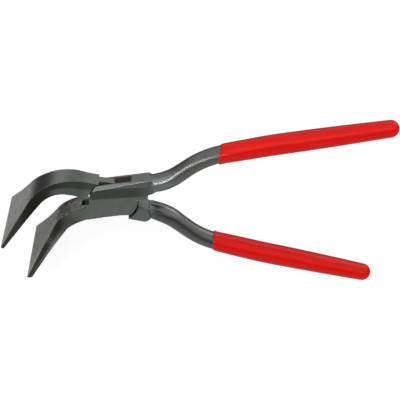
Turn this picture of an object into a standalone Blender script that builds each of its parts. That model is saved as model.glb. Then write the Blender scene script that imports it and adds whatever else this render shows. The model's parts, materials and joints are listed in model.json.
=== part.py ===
"""Hand seamer: 45 degree bent seaming pliers for sheet-metal roofing.

Two forged steel halves pass through one another in a box joint and turn
about one flush rivet. Each half carries a red dip-coated handle grip.

The halves are drawn closed, with the rivet's axis on the world Y axis, the
jaws towards -X and the handles towards +X. They are then opened about the
rivet and stood on the lower blade's front edge and the lower grip's end.
Metres, +Z up. Lengths below are in millimetres and are scaled by MM.
"""
import bpy
import bmesh
import numpy as np
from math import radians, degrees, sin, cos, tan, pi, sqrt, atan2, hypot
from mathutils import Matrix, Vector

MM = 0.001

# ---------------------------------------------------------------- dimensions
# opening of each half from the closed tool, degrees
OUTER_OPEN = 8.10            # box half, seen from -Y turns anticlockwise
INNER_OPEN = -13.15          # tenon half, turns clockwise

# box joint
BOX_HALF_T = 6.5             # half the thickness of the joint
BOX_TOP = 14.7               # top of the box above the rivet, at the front
BOX_TOP_REAR = 15.3          # and at its rear end
BOX_LOW = 12.7               # underside of the box below the rivet
BOX_REAR = 28.5              # rear end of the box
BOX_HEEL = -0.7              # underside of the box behind the rear arc
BOX_HEEL_X = 24.8
CHEEK_FRONT_R = 18.2         # cheek arc against the upper jaw
CHEEK_REAR_R = 16.5          # cheek arc against the lower shoulder
SHOULDER_FRONT_R = 19.0
SHOULDER_REAR_R = 18.1
SLOT_HALF = 3.2
TENON_HALF = 2.9
SLOT_FRONT = -24.8
SLOT_REAR = 14.9
SLOT_REAR_LOW = 17.4         # the slot runs out through the rear arc below
SLOT_STEP_Z = -0.2
EDGE = 0.6                   # chamfer round the ground faces
TOP_CHAMFER_Y = 2.2
TOP_CHAMFER_Z = 2.0

# rivet, ground flush with both cheeks
RIVET_R = 4.5
RIVET_HEAD_R = 5.7
RIVET_HEAD_H = 1.4
RIVET_GAP = 0.3

# jaws: side profiles as (x, z) corners joined by a bend radius
LOWER_IN = ((-12.0, -1.1), (-38.2, -2.3), (-72.2, -42.4))
LOWER_IN_R = 30.0
LOWER_OUT = ((-12.0, -13.1), (-35.5, -13.9), (-68.4, -42.9))
LOWER_OUT_R = 14.0
UPPER_IN = ((-10.0, -0.4), (-45.0, 1.6), (-71.8, -41.3))
UPPER_IN_R = 22.0
UPPER_OUT = ((-10.0, 13.4), (-51.3, 13.4), (-74.2, -41.1))
UPPER_OUT_R = 38.0
BLADE_WIDTH = 60.0
# half widths of the mating face and of the back, by distance from the tip
MATE_HALF = ((0.0, 30.0), (12.0, 23.7), (24.0, 17.6), (33.0, 13.6),
             (41.0, 10.9), (50.0, 9.2), (60.0, 8.7), (64.0, 8.4))
LOWER_MATE_HALF = ((0.0, 30.0), (12.0, 23.2), (24.0, 16.5), (33.0, 12.5),
                   (41.0, 10.0), (50.0, 8.7), (60.0, 8.2), (64.0, 7.9))
BACK_HALF = ((0.0, 30.0), (10.0, 24.4), (20.0, 18.9), (30.0, 14.8),
             (40.0, 11.5), (50.0, 9.2), (62.0, 8.1), (70.0, 7.4))
ROOT_HALF = 6.4              # half width where the jaw enters the joint

# handles
AXIS_Z = 1.5                 # the handles spread from this height
AXIS_UPPER = ((18.0, 7.4), (39.6, 6.8), (70.5, 25.1), (118.0, 28.3),
              (207.8, 30.7))
AXIS_LOWER = ((18.0, 7.2), (39.6, 7.45), (70.5, 25.1), (118.0, 28.3),
              (207.8, 30.7))
AXIS_R = (36.0, 62.0, 320.0)
TANG_R = ((18.0, 4.6), (24.0, 5.6), (31.0, 6.75), (40.0, 6.75), (50.0, 6.35),
          (76.0, 6.3), (130.0, 6.2), (200.0, 5.0))
TANG_LOWER_R = ((18.0, 3.6), (25.0, 4.2), (28.0, 5.9), (31.0, 6.6),
                (40.0, 6.8), (50.0, 6.35), (76.0, 6.3), (130.0, 6.2),
                (200.0, 5.0))
TANG_START = {1: 18.0, -1: 25.2}
TANG_FLAT = {1: 0.95, -1: 0.84}      # the roots are forged thinner across
GRIP_R = ((70.0, 6.9), (78.0, 7.15), (86.0, 7.4), (100.0, 7.6), (125.0, 7.75),
          (160.0, 7.4), (200.0, 6.5))
UPPER_GRIP_END = 207.8       # handles end, along x in the closed tool
LOWER_GRIP_END = 205.8
GRIP_WALL_END = 1.6
UPPER_GRIP_START = 80.0      # dip line on the handle's axis
UPPER_DIP_LEAN = 6.6         # lean of the dip line, degrees
LOWER_GRIP_START = 79.0
LOWER_DIP_LEAN = -2.0
GRIP_GAP = 0.3               # modelled gap between sleeve and steel
LOWER_R = 1.035               # the lower handle is a little thicker
SIDES = 16


# ------------------------------------------------------------------- scene
for old in list(bpy.data.objects):
    bpy.data.objects.remove(old, do_unlink=True)

parts = bpy.data.collections.new("hand_seamer")
bpy.context.scene.collection.children.link(parts)
workshop = bpy.data.collections.new("cutters")
bpy.context.scene.collection.children.link(workshop)


def material(name, colour, metallic, roughness):
    m = bpy.data.materials.new(name)
    m.use_nodes = True
    b = m.node_tree.nodes["Principled BSDF"]
    b.inputs["Base Color"].default_value = (*colour, 1.0)
    b.inputs["Metallic"].default_value = metallic
    b.inputs["Roughness"].default_value = roughness
    return m


# ------------------------------------------------------------ curve helpers
def bend_path(corners, radii, step=2.0, long_step=14.0):
    """Straight runs joined by tangent arcs of the given radii."""
    c = [np.array(p, float) for p in corners]
    out = [c[0]]
    for i in range(1, len(c) - 1):
        a, b = c[i - 1] - c[i], c[i + 1] - c[i]
        a, b = a / np.linalg.norm(a), b / np.linalg.norm(b)
        half = np.arccos(np.clip(a @ b, -1, 1)) / 2
        r = radii[i - 1]
        t = r / tan(half)
        centre = c[i] + (a + b) / np.linalg.norm(a + b) * r / sin(half)
        p0, p1 = c[i] + a * t - centre, c[i] + b * t - centre
        a0, a1 = atan2(p0[1], p0[0]), atan2(p1[1], p1[0])
        turn = (a1 - a0 + pi) % (2 * pi) - pi
        n = max(3, int(abs(turn) * r / step))
        for k in range(n + 1):
            w = a0 + turn * k / n
            out.append(centre + r * np.array((cos(w), sin(w))))
    out.append(c[-1])
    pts = [out[0]]
    for p in out[1:]:
        gap = np.linalg.norm(p - pts[-1])
        if gap < 1e-6:
            continue
        n = int(np.ceil(gap / long_step))
        q = pts[-1]
        for k in range(1, n + 1):
            pts.append(q + (p - q) * k / n)
    return np.array(pts)


def lengths(path):
    return np.r_[0, np.cumsum(np.linalg.norm(np.diff(path, axis=0), axis=1))]


def at_length(path, s):
    d = lengths(path)
    return np.stack([np.interp(s, d, path[:, 0]),
                     np.interp(s, d, path[:, 1])], axis=-1)


def smooth_table(table, x):
    """A smooth curve through a short table, with no overshoot."""
    tx, ty = np.array(table, float).T
    m = np.gradient(ty, tx)
    x = np.clip(x, tx[0], tx[-1])
    i = np.clip(np.searchsorted(tx, x) - 1, 0, len(tx) - 2)
    h = tx[i + 1] - tx[i]
    t = (x - tx[i]) / h
    return ((1 + 2 * t) * (1 - t) ** 2 * ty[i] + t * (1 - t) ** 2 * h * m[i]
            + t * t * (3 - 2 * t) * ty[i + 1] + t * t * (t - 1) * h * m[i + 1])


# ----------------------------------------------------------- solid helpers
def finish_mesh(name, me):
    bm = bmesh.new()
    bm.from_mesh(me)
    bmesh.ops.remove_doubles(bm, verts=bm.verts, dist=1e-6)
    bmesh.ops.recalc_face_normals(bm, faces=bm.faces)
    bm.to_mesh(me)
    bm.free()
    me.name = name
    return me


def mesh_object(name, me, where=None):
    ob = bpy.data.objects.new(name, me)
    (where or workshop).objects.link(ob)
    return ob


def curve_to_mesh(ob):
    """Replace a curve object by its welded mesh, in place."""
    bpy.context.view_layer.update()
    deps = bpy.context.evaluated_depsgraph_get()
    me = bpy.data.meshes.new_from_object(ob.evaluated_get(deps))
    me.transform(ob.matrix_world)
    name = ob.name
    bpy.data.objects.remove(ob, do_unlink=True)
    return mesh_object(name, finish_mesh(name, me))


def plate(name, outline, half, chamfer=0.0):
    """Flat plate: an outline in XZ, thick along Y, edges chamfered."""
    cu = bpy.data.curves.new(name, "CURVE")
    cu.dimensions = "2D"
    cu.fill_mode = "BOTH"
    cu.extrude = (half - chamfer) * MM
    if chamfer:
        cu.bevel_depth = chamfer * MM
        cu.bevel_resolution = 0
        cu.offset = -chamfer * MM
    sp = cu.splines.new("POLY")
    sp.points.add(len(outline) - 1)
    for p, (x, z) in zip(sp.points, outline):
        p.co = (x * MM, z * MM, 0, 1)
    sp.use_cyclic_u = True
    ob = mesh_object(name, cu)
    ob.rotation_euler = (pi / 2, 0, 0)
    return curve_to_mesh(ob)


def tube(name, path, radii, sides=SIDES):
    """Round bar along a path in XZ, with its radius set point by point."""
    cu = bpy.data.curves.new(name, "CURVE")
    cu.dimensions = "3D"
    cu.bevel_depth = MM
    cu.bevel_resolution = (sides - 4) // 2
    cu.use_fill_caps = True
    sp = cu.splines.new("POLY")
    sp.points.add(len(path) - 1)
    for p, (x, z), r in zip(sp.points, path, radii):
        p.co = (x * MM, 0, z * MM, 1)
        p.radius = r
    return curve_to_mesh(mesh_object(name, cu))


def drum(name, r, half, y=0.0, segments=64, r2=None):
    """Cylinder (or cone frustum) along Y."""
    bm = bmesh.new()
    bmesh.ops.create_cone(bm, cap_ends=True, segments=segments,
                          radius1=r * MM, radius2=(r if r2 is None else r2) * MM,
                          depth=2 * half * MM)
    bmesh.ops.rotate(bm, verts=bm.verts, cent=(0, 0, 0),
                     matrix=Matrix.Rotation(radians(-90), 3, "X"))
    bmesh.ops.translate(bm, verts=bm.verts, vec=(0, y * MM, 0))
    me = bpy.data.meshes.new(name)
    bm.to_mesh(me)
    bm.free()
    return mesh_object(name, finish_mesh(name, me))


def loft(name, rings):
    """Closed skin through rings that have equal point counts."""
    bm = bmesh.new()
    rows = [[bm.verts.new(Vector(p) * MM) for p in ring] for ring in rings]
    n = len(rows[0])
    for a, b in zip(rows, rows[1:]):
        for k in range(n):
            bm.faces.new((a[k], a[(k + 1) % n], b[(k + 1) % n], b[k]))
    bm.faces.new(rows[0][::-1])
    bm.faces.new(rows[-1])
    me = bpy.data.meshes.new(name)
    bm.to_mesh(me)
    bm.free()
    return mesh_object(name, finish_mesh(name, me))


def combine(ob, tool, how):
    """Apply one exact Boolean and drop the tool."""
    mod = ob.modifiers.new(how.lower(), "BOOLEAN")
    mod.operation = how
    mod.solver = "EXACT"
    mod.object = tool
    tool.hide_render = True
    tool.display_type = "WIRE"
    bpy.context.view_layer.update()
    deps = bpy.context.evaluated_depsgraph_get()
    me = bpy.data.meshes.new_from_object(ob.evaluated_get(deps))
    ob.modifiers.clear()
    ob.data = finish_mesh(ob.name, me)
    bpy.data.objects.remove(tool, do_unlink=True)
    return ob


def join(ob, tool):
    return combine(ob, tool, "UNION")


def cut(ob, tool):
    return combine(ob, tool, "DIFFERENCE")


def arc(r, a0, a1, n=12):
    return [(r * cos(radians(a0 + (a1 - a0) * k / n)),
             r * sin(radians(a0 + (a1 - a0) * k / n))) for k in range(n + 1)]


# -------------------------------------------------------------------- jaws
def jaw(name, inner, inner_r, outer, outer_r, mate_half, n=22):
    """Wedge blade: mating face on `inner`, back on `outer`, flaring to the tip."""
    pin = bend_path(inner, (inner_r,), 1.0)[::-1]
    pout = bend_path(outer, (outer_r,), 1.0)[::-1]
    li, lo = lengths(pin)[-1], lengths(pout)[-1]
    rings = []
    for k in range(n + 1):
        f = k / n
        si, so = f * li, f * lo
        (xi, zi), (xo, zo) = at_length(pin, si), at_length(pout, so)
        hi = float(smooth_table(mate_half, si))
        ho = float(smooth_table(BACK_HALF, so))
        # narrow to the joint's thickness at the root
        wi = np.clip((xi + 27.0) / 8.0, 0, 1)
        wo = np.clip((xo + 34.0) / 12.0, 0, 1)
        hi = hi + (ROOT_HALF - hi) * wi * wi * (3 - 2 * wi)
        ho = ho + (ROOT_HALF - 0.2 - ho) * wo * wo * (3 - 2 * wo)
        rings.append([(xi, -hi, zi), (xi, hi, zi), (xo, ho, zo), (xo, -ho, zo)])
    return loft(name, rings)


# ----------------------------------------------------------------- handles
axes = {1: bend_path(AXIS_UPPER, AXIS_R, 4.5, 15.0),
        -1: bend_path(AXIS_LOWER, AXIS_R, 4.5, 15.0)}


def handle_axis(start, end, sign):
    """Axis points with start < x < end, ends added, turned over for the lower."""
    axis = axes[sign]
    xs = axis[:, 0]
    keep = [p for p in axis if start + 0.8 < p[0] < end - 0.8]
    ends = [np.array((e, np.interp(e, xs, axis[:, 1]))) for e in (start, end)]
    pts = [ends[0]] + keep + [ends[1]]
    return np.array([(x, AXIS_Z + sign * z) for x, z in pts])


def round_end(path, radii, end_r):
    """Shape the last stretch of a bar into a rounded nose."""
    d = path[-1] - path[-2]
    d = d / np.linalg.norm(d)
    tip = path[-1]
    body = [(p, r) for p, r in zip(path, radii)
            if np.linalg.norm(tip - p) > end_r * 1.15]
    nose = []
    for a in (0, 30, 52, 70, 83):
        back = end_r * (1 - sin(radians(a)))
        nose.append((tip - d * back, end_r * cos(radians(a))))
    both = body + nose
    return np.array([p for p, _ in both]), [r for _, r in both]


def tang(name, sign, grip_end):
    end = grip_end - GRIP_WALL_END
    path = handle_axis(TANG_START[sign], end, sign)
    grow = 1.0 if sign > 0 else LOWER_R
    table = TANG_R if sign > 0 else TANG_LOWER_R
    radii = [float(smooth_table(table, x)) * grow for x in path[:, 0]]
    path, radii = round_end(path, radii, radii[-1])
    bar = tube(name, path, radii)
    for v in bar.data.vertices:
        k = min(max((v.co.x / MM - 29.0) / 13.0, 0.0), 1.0)
        v.co.y *= TANG_FLAT[sign] + (1.0 - TANG_FLAT[sign]) * k * k * (3 - 2 * k)
    return bar


def grip(name, sign, start, lean, grip_end):
    """Dipped sleeve: a round skin over the tang, ended by a flat dip line."""
    grow = 1.0 if sign > 0 else LOWER_R
    path = handle_axis(start - 6.0, grip_end, sign)
    radii = [float(smooth_table(GRIP_R, x)) * grow for x in path[:, 0]]
    path, radii = round_end(path, radii, radii[-1])
    body = tube(name, path, radii)
    end = grip_end - GRIP_WALL_END + GRIP_GAP
    bore = handle_axis(start - 10.0, end, sign)
    radii = [float(smooth_table(TANG_R, x)) * grow + GRIP_GAP
             for x in bore[:, 0]]
    bore, radii = round_end(bore, radii, radii[-1])
    cut(body, tube("bore", bore, radii))
    zc = AXIS_Z + sign * float(np.interp(start, axes[sign][:, 0],
                                         axes[sign][:, 1]))
    run = 20.0 * tan(radians(lean))
    waste = [(start + run, zc + 20.0), (start - 30.0, zc + 20.0),
             (start - 30.0, zc - 20.0), (start - run, zc - 20.0)]
    return cut(body, plate("dip_line", waste, 20.0))


# --------------------------------------------------------- outer (box) half
a_top = degrees(atan2(BOX_TOP, -sqrt(CHEEK_FRONT_R ** 2 - BOX_TOP ** 2)))
top_x = CHEEK_FRONT_R * cos(radians(a_top))
top_slope = (BOX_TOP_REAR - BOX_TOP) / (BOX_REAR - top_x)
a_jaw = 180 + degrees(np.arcsin(2.4 / CHEEK_FRONT_R))
a_heel = degrees(np.arcsin(BOX_HEEL / CHEEK_REAR_R))
a_low = degrees(np.arcsin(-(BOX_LOW + 0.8) / CHEEK_REAR_R))
box_outline = ([(BOX_REAR - 0.8, BOX_TOP_REAR)] + arc(CHEEK_FRONT_R, a_top, a_jaw, 14)
               + [(-22.0, -3.0), (-22.0, -13.0), (2.0, -BOX_LOW)]
               + arc(CHEEK_REAR_R, a_low, a_heel, 10)
               + [(BOX_HEEL_X, BOX_HEEL), (BOX_HEEL_X + 0.6, 2.6),
                  (BOX_REAR, 3.2), (BOX_REAR + 3.0, 3.9), (BOX_REAR + 4.6, 8.0),
                  (BOX_REAR + 3.4, 11.6), (BOX_REAR + 1.3, 13.6)])
outer = plate("outer_half", box_outline, BOX_HALF_T, EDGE)

# the two long top edges of the box are ground back further
rate = TOP_CHAMFER_Z / TOP_CHAMFER_Y
for side in (-1, 1):
    rings = []
    for x in (-16.0, 36.0):
        z0 = BOX_TOP + top_slope * (x - top_x)
        y0 = BOX_HALF_T - TOP_CHAMFER_Y
        rings.append([(x, side * (y0 - 1.0), z0 + rate),
                      (x, side * (BOX_HALF_T + 2.0),
                       z0 - TOP_CHAMFER_Z - 2.0 * rate),
                      (x, side * (BOX_HALF_T + 2.0), z0 + 2.0)])
    cut(outer, loft("edge_cutter", rings))

join(outer, jaw("lower_jaw", LOWER_IN, LOWER_IN_R, LOWER_OUT, LOWER_OUT_R,
                LOWER_MATE_HALF))
join(outer, tang("upper_tang", 1, UPPER_GRIP_END))

slot_outline = [(SLOT_REAR, 30.0), (-30.0, 30.0), (SLOT_FRONT, -1.8),
                (-15.5, -20.0), (SLOT_REAR_LOW, -20.0),
                (SLOT_REAR_LOW, SLOT_STEP_Z), (SLOT_REAR, SLOT_STEP_Z + 0.8)]
cut(outer, plate("slot", slot_outline, SLOT_HALF))

cut(outer, drum("rivet_hole", RIVET_R + RIVET_GAP, 20.0, segments=48))
for side in (-1, 1):
    deep = RIVET_HEAD_H + RIVET_GAP
    grow = (RIVET_HEAD_R - RIVET_R) / RIVET_HEAD_H
    r_in, r_out = RIVET_R + RIVET_GAP, RIVET_HEAD_R + RIVET_GAP + grow * 1.0
    lo_r, hi_r = (r_in, r_out) if side > 0 else (r_out, r_in)
    mid = side * (BOX_HALF_T + 1.0 - (deep + 1.0) / 2)
    cut(outer, drum("countersink", lo_r, (deep + 1.0) / 2, mid, 48, hi_r))

# ------------------------------------------------------- inner (tenon) half
inner = jaw("inner_half", UPPER_IN, UPPER_IN_R, UPPER_OUT, UPPER_OUT_R,
            MATE_HALF, 24)
cut(inner, drum("front_arc", SHOULDER_FRONT_R, 20.0, segments=96))

s_low, s_top = -12.9, -1.3
shoulder = ([(16.0, s_low), (25.6, s_low), (28.0, -11.0), (29.2, -8.8),
             (27.9, -6.0), (26.6, -3.6), (25.8, s_top), (15.0, s_top)])
block = plate("lower_shoulder", shoulder, BOX_HALF_T, EDGE)
shoulder_b = [(12.9, s_low), (18.0, s_low), (19.0, -7.0), (18.0, -3.0), (15.0, -5.0)]
block = join(block, plate("shoulder_toe", shoulder_b, BOX_HALF_T - 0.01, EDGE))
cut(block, drum("rear_arc", SHOULDER_REAR_R, 20.0, segments=96))
join(inner, block)
join(inner, tang("lower_tang", -1, LOWER_GRIP_END))
web = [(25.3, -1.8), (26.4, -0.5), (29.5, -0.1), (33.0, -0.3), (37.0, -1.3),
       (41.0, -3.5), (37.0, -7.0), (29.0, -9.0), (25.6, -8.0)]
join(inner, plate("root_web", web, 5.2, EDGE))
tenon_outline = [(-21.5, 2.6), (-20.5, 12.6), (-15.5, 13.3), (-13.0, 14.0),
                 (-4.0, 14.6), (-2.6, 14.3), (7.0, 8.25), (11.5, 5.4),
                 (14.2, 2.4), (14.4, -1.0), (20.0, -2.6), (20.0, -11.6),
                 (13.6, -12.1), (2.0, -12.1), (-7.0, -10.6), (-14.0, -6.0),
                 (-18.6, 0.4)]
join(inner, plate("tenon", tenon_outline, TENON_HALF))
cut(inner, drum("tenon_hole", RIVET_R + RIVET_GAP, 20.0, segments=48))

# ---------------------------------------------------------------- the rivet
y_face = BOX_HALF_T
profile = [(0, y_face), (RIVET_HEAD_R, y_face), (RIVET_R, y_face - RIVET_HEAD_H),
           (RIVET_R, -y_face + RIVET_HEAD_H), (RIVET_HEAD_R, -y_face), (0, -y_face)]
me = bpy.data.meshes.new("pivot_rivet")
me.from_pydata([(r * MM, 0, y * MM) for r, y in profile],
               [(i, i + 1) for i in range(len(profile) - 1)], [])
rivet = mesh_object("pivot_rivet", me)
screw = rivet.modifiers.new("turn", "SCREW")
screw.steps = 48
screw.render_steps = 48
screw.use_merge_vertices = True
screw.merge_threshold = 1e-5
bpy.context.view_layer.update()
deps = bpy.context.evaluated_depsgraph_get()
me = bpy.data.meshes.new_from_object(rivet.evaluated_get(deps))
me.transform(Matrix.Rotation(radians(-90), 4, "X"))
rivet.modifiers.clear()
rivet.data = finish_mesh("pivot_rivet", me)

upper_grip = grip("upper_grip", 1, UPPER_GRIP_START, UPPER_DIP_LEAN,
                  UPPER_GRIP_END)
lower_grip = grip("lower_grip", -1, LOWER_GRIP_START, LOWER_DIP_LEAN,
                  LOWER_GRIP_END)

# ------------------------------------------------------- open and stand it
halves = {"outer": [outer, rivet, upper_grip], "inner": [inner, lower_grip]}


def turned(obs, ang):
    """World points of a half turned by `ang` degrees, anticlockwise from -Y."""
    p = np.array([v.co[:] for ob in obs for v in ob.data.vertices])
    c, s = cos(radians(ang)), sin(radians(ang))
    return np.stack([p[:, 0] * c - p[:, 2] * s, p[:, 1],
                     p[:, 0] * s + p[:, 2] * c], 1)


def tilt_error(t):
    return (turned(halves["outer"], OUTER_OPEN + t)[:, 2].min()
            - turned(halves["inner"], INNER_OPEN + t)[:, 2].min())


lo_t, hi_t = 0.0, 15.0       # tilt at which both contacts touch the ground
for _ in range(40):
    mid_t = (lo_t + hi_t) / 2
    if tilt_error(mid_t) > 0:
        lo_t = mid_t
    else:
        hi_t = mid_t
TILT = (lo_t + hi_t) / 2

cloud = np.concatenate([turned(halves["outer"], OUTER_OPEN + TILT),
                        turned(halves["inner"], INNER_OPEN + TILT)])
lo3, hi3 = cloud.min(0), cloud.max(0)
PIVOT = Vector((-(lo3[0] + hi3[0]) / 2, -(lo3[1] + hi3[1]) / 2, -lo3[2]))

for key, ang in (("outer", OUTER_OPEN + TILT), ("inner", INNER_OPEN + TILT)):
    empty = bpy.data.objects.new(key + "_pivot", None)
    workshop.objects.link(empty)
    empty.location = PIVOT
    empty.rotation_euler = (0, -radians(ang), 0)
    for ob in halves[key]:
        ob.parent = empty

steel_outer = material("forged_steel_outer", (0.060, 0.068, 0.068), 1.0, 0.38)
steel_inner = material("forged_steel_inner", (0.066, 0.070, 0.068), 1.0, 0.40)
steel_rivet = material("rivet_steel", (0.080, 0.086, 0.086), 1.0, 0.35)
red_upper = material("red_grip_upper", (0.72, 0.012, 0.008), 0.0, 0.32)
red_lower = material("red_grip_lower", (0.70, 0.012, 0.008), 0.0, 0.34)
for ob, mat in ((outer, steel_outer), (inner, steel_inner), (rivet, steel_rivet),
                (upper_grip, red_upper), (lower_grip, red_lower)):
    ob.data.materials.clear()
    ob.data.materials.append(mat)
    workshop.objects.unlink(ob)
    parts.objects.link(ob)
    ob.data.shade_smooth()
    ob.data.set_sharp_from_angle(angle=radians(35))
bpy.context.view_layer.update()
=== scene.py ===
import json
import bpy
import bmesh
import numpy as np
from math import radians, degrees, sin, cos, tan, pi, sqrt, atan2
from mathutils import Matrix, Vector


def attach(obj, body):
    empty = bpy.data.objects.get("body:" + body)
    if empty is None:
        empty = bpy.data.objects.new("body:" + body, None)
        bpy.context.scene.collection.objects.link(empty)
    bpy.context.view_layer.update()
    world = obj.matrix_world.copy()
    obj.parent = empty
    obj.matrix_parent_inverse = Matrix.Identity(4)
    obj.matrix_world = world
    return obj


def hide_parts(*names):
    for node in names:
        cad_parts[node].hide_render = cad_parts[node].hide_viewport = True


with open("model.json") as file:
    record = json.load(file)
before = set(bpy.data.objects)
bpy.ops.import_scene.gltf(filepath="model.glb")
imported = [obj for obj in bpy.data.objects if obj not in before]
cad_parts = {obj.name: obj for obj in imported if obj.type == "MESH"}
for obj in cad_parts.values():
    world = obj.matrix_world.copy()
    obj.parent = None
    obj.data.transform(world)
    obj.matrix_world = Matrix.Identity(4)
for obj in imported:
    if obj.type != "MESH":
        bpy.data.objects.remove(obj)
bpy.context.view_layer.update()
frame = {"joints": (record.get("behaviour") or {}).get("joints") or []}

MM = 0.001
VOXEL = 0.33

# ------------------------------------------------------------ the joint's place
joint = frame["joints"][0]
PIVOT = Vector(joint["pos_m"])
OUTER_ANGLE = 14.4309        # the box half, degrees anticlockwise seen from -Y
INNER_ANGLE = -6.8191        # the tenon half

# ------------------------------------------------------------------ dimensions
BOX_T = 6.5
BOX_TOP, BOX_TOP_REAR = 14.7, 15.3
BOX_LOW = 12.7
BOX_REAR = 28.5
BOX_HEEL, BOX_HEEL_X = -0.7, 24.8
CHEEK_FRONT_R, CHEEK_REAR_R = 18.2, 16.5
SHOULDER_FRONT_R, SHOULDER_REAR_R = 19.0, 18.1
SLOT_HALF, TENON_HALF = 3.2, 2.9
SLOT_FRONT, SLOT_REAR, SLOT_REAR_LOW = -24.8, 14.9, 17.4
RIVET_R, RIVET_HEAD_R, RIVET_HEAD_H = 4.5, 5.7, 1.4
HAIRLINE = 0.04

LOWER_IN = ((-12.0, -1.1), (-38.2, -2.3), (-72.2, -42.4))
LOWER_IN_R = 30.0
LOWER_OUT = ((-12.0, -13.1), (-35.5, -13.9), (-68.4, -42.9))
LOWER_OUT_R = 14.0
UPPER_IN = ((-10.0, -0.4), (-45.0, 1.6), (-71.8, -41.3))
UPPER_IN_R = 22.0
UPPER_OUT = ((-10.0, 13.4), (-51.3, 13.4), (-74.2, -41.1))
UPPER_OUT_R = 38.0
MATE_HALF = ((0.0, 30.0), (12.0, 23.7), (24.0, 17.6), (33.0, 13.6),
             (41.0, 10.9), (50.0, 9.2), (60.0, 8.7), (64.0, 8.4))
LOWER_MATE_HALF = ((0.0, 30.0), (12.0, 23.2), (24.0, 16.5), (33.0, 12.5),
                   (41.0, 10.0), (50.0, 8.7), (60.0, 8.2), (64.0, 7.9))
BACK_HALF = ((0.0, 30.0), (10.0, 24.4), (20.0, 18.9), (30.0, 14.8),
             (40.0, 11.5), (50.0, 9.2), (62.0, 8.1), (70.0, 7.4))
ROOT_HALF = 6.4

AXIS_Z = 1.5
AXIS_UPPER = ((18.0, 7.4), (39.6, 6.8), (70.5, 25.1), (118.0, 28.3), (207.8, 30.7))
AXIS_LOWER = ((18.0, 7.2), (39.6, 7.45), (70.5, 25.1), (118.0, 28.3), (207.8, 30.7))
AXIS_R = (36.0, 62.0, 320.0)
TANG_R = ((18.0, 4.6), (24.0, 5.6), (31.0, 6.75), (40.0, 6.75), (50.0, 6.35),
          (76.0, 6.3), (130.0, 6.2), (200.0, 5.0))
TANG_LOWER_R = ((18.0, 3.6), (25.0, 4.2), (28.0, 5.9), (31.0, 6.6), (40.0, 6.8),
                (50.0, 6.35), (76.0, 6.3), (130.0, 6.2), (200.0, 5.0))
GRIP_R = ((70.0, 6.9), (78.0, 7.15), (86.0, 7.4), (100.0, 7.6), (125.0, 7.75),
          (160.0, 7.4), (200.0, 6.5))
GRIP_END = {1: 207.8, -1: 205.8}
GRIP_START = {1: 80.0, -1: 79.0}
DIP_LEAN = {1: 6.6, -1: -2.0}
GROW = {1: 1.0, -1: 1.035}
WALL_END = 1.6


# --------------------------------------------------------------- curve helpers
def bend_path(corners, radii, step=0.8):
    """Straight runs joined by tangent arcs, as points about `step` apart."""
    c = [np.array(p, float) for p in corners]
    out = [c[0]]
    for i in range(1, len(c) - 1):
        a, b = c[i - 1] - c[i], c[i + 1] - c[i]
        a, b = a / np.linalg.norm(a), b / np.linalg.norm(b)
        half = np.arccos(np.clip(a @ b, -1, 1)) / 2
        r = radii[i - 1]
        centre = c[i] + (a + b) / np.linalg.norm(a + b) * r / sin(half)
        t = r / tan(half)
        p0, p1 = c[i] + a * t - centre, c[i] + b * t - centre
        a0, a1 = atan2(p0[1], p0[0]), atan2(p1[1], p1[0])
        turn = (a1 - a0 + pi) % (2 * pi) - pi
        n = max(6, int(abs(turn) * r / step))
        for k in range(n + 1):
            w = a0 + turn * k / n
            out.append(centre + r * np.array((cos(w), sin(w))))
    out.append(c[-1])
    pts = [out[0]]
    for p in out[1:]:
        gap = np.linalg.norm(p - pts[-1])
        if gap < 1e-6:
            continue
        n = int(np.ceil(gap / step))
        q = pts[-1]
        for k in range(1, n + 1):
            pts.append(q + (p - q) * k / n)
    return np.array(pts)


def lengths(path):
    return np.r_[0, np.cumsum(np.linalg.norm(np.diff(path, axis=0), axis=1))]


def at_length(path, s):
    d = lengths(path)
    return np.stack([np.interp(s, d, path[:, 0]), np.interp(s, d, path[:, 1])], -1)


def smooth_table(table, x):
    """A smooth curve through a short table."""
    tx, ty = np.array(table, float).T
    m = np.gradient(ty, tx)
    x = np.clip(x, tx[0], tx[-1])
    i = np.clip(np.searchsorted(tx, x) - 1, 0, len(tx) - 2)
    h = tx[i + 1] - tx[i]
    t = (x - tx[i]) / h
    return ((1 + 2 * t) * (1 - t) ** 2 * ty[i] + t * (1 - t) ** 2 * h * m[i]
            + t * t * (3 - 2 * t) * ty[i + 1] + t * t * (t - 1) * h * m[i + 1])


def ramp(x, a, b):
    t = np.clip((np.asarray(x, float) - a) / (b - a), 0, 1)
    return t * t * (3 - 2 * t)


def arc(r, a0, a1, n=40):
    return [(r * cos(radians(a0 + (a1 - a0) * k / n)),
             r * sin(radians(a0 + (a1 - a0) * k / n))) for k in range(n + 1)]


# ---------------------------------------------------------------- mesh helpers
def new_object(name, bm):
    me = bpy.data.meshes.new(name)
    bmesh.ops.recalc_face_normals(bm, faces=bm.faces)
    bm.to_mesh(me)
    bm.free()
    ob = bpy.data.objects.new(name, me)
    bpy.context.scene.collection.objects.link(ob)
    return ob


def skin(name, rings):
    """Closed skin through rings of equal point counts (mm), capped both ends."""
    bm = bmesh.new()
    rows = [[bm.verts.new(Vector(p) * MM) for p in ring] for ring in rings]
    n = len(rows[0])
    for a, b in zip(rows, rows[1:]):
        for k in range(n):
            bm.faces.new((a[k], a[(k + 1) % n], b[(k + 1) % n], b[k]))
    bm.faces.new(rows[0][::-1])
    bm.faces.new(rows[-1])
    return new_object(name, bm)


def plate(name, outline, y0, y1):
    """Straight plate: an outline in XZ between two Y planes."""
    return skin(name, [[(x, y, z) for x, z in outline] for y in (y0, y1)])


def drum(name, r, y0, y1, n=128, r1=None):
    r1 = r if r1 is None else r1
    rings = [[(q * cos(2 * pi * k / n), y, q * sin(2 * pi * k / n)) for k in range(n)]
             for y, q in ((y0, r), (y1, r1))]
    return skin(name, rings)


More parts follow.
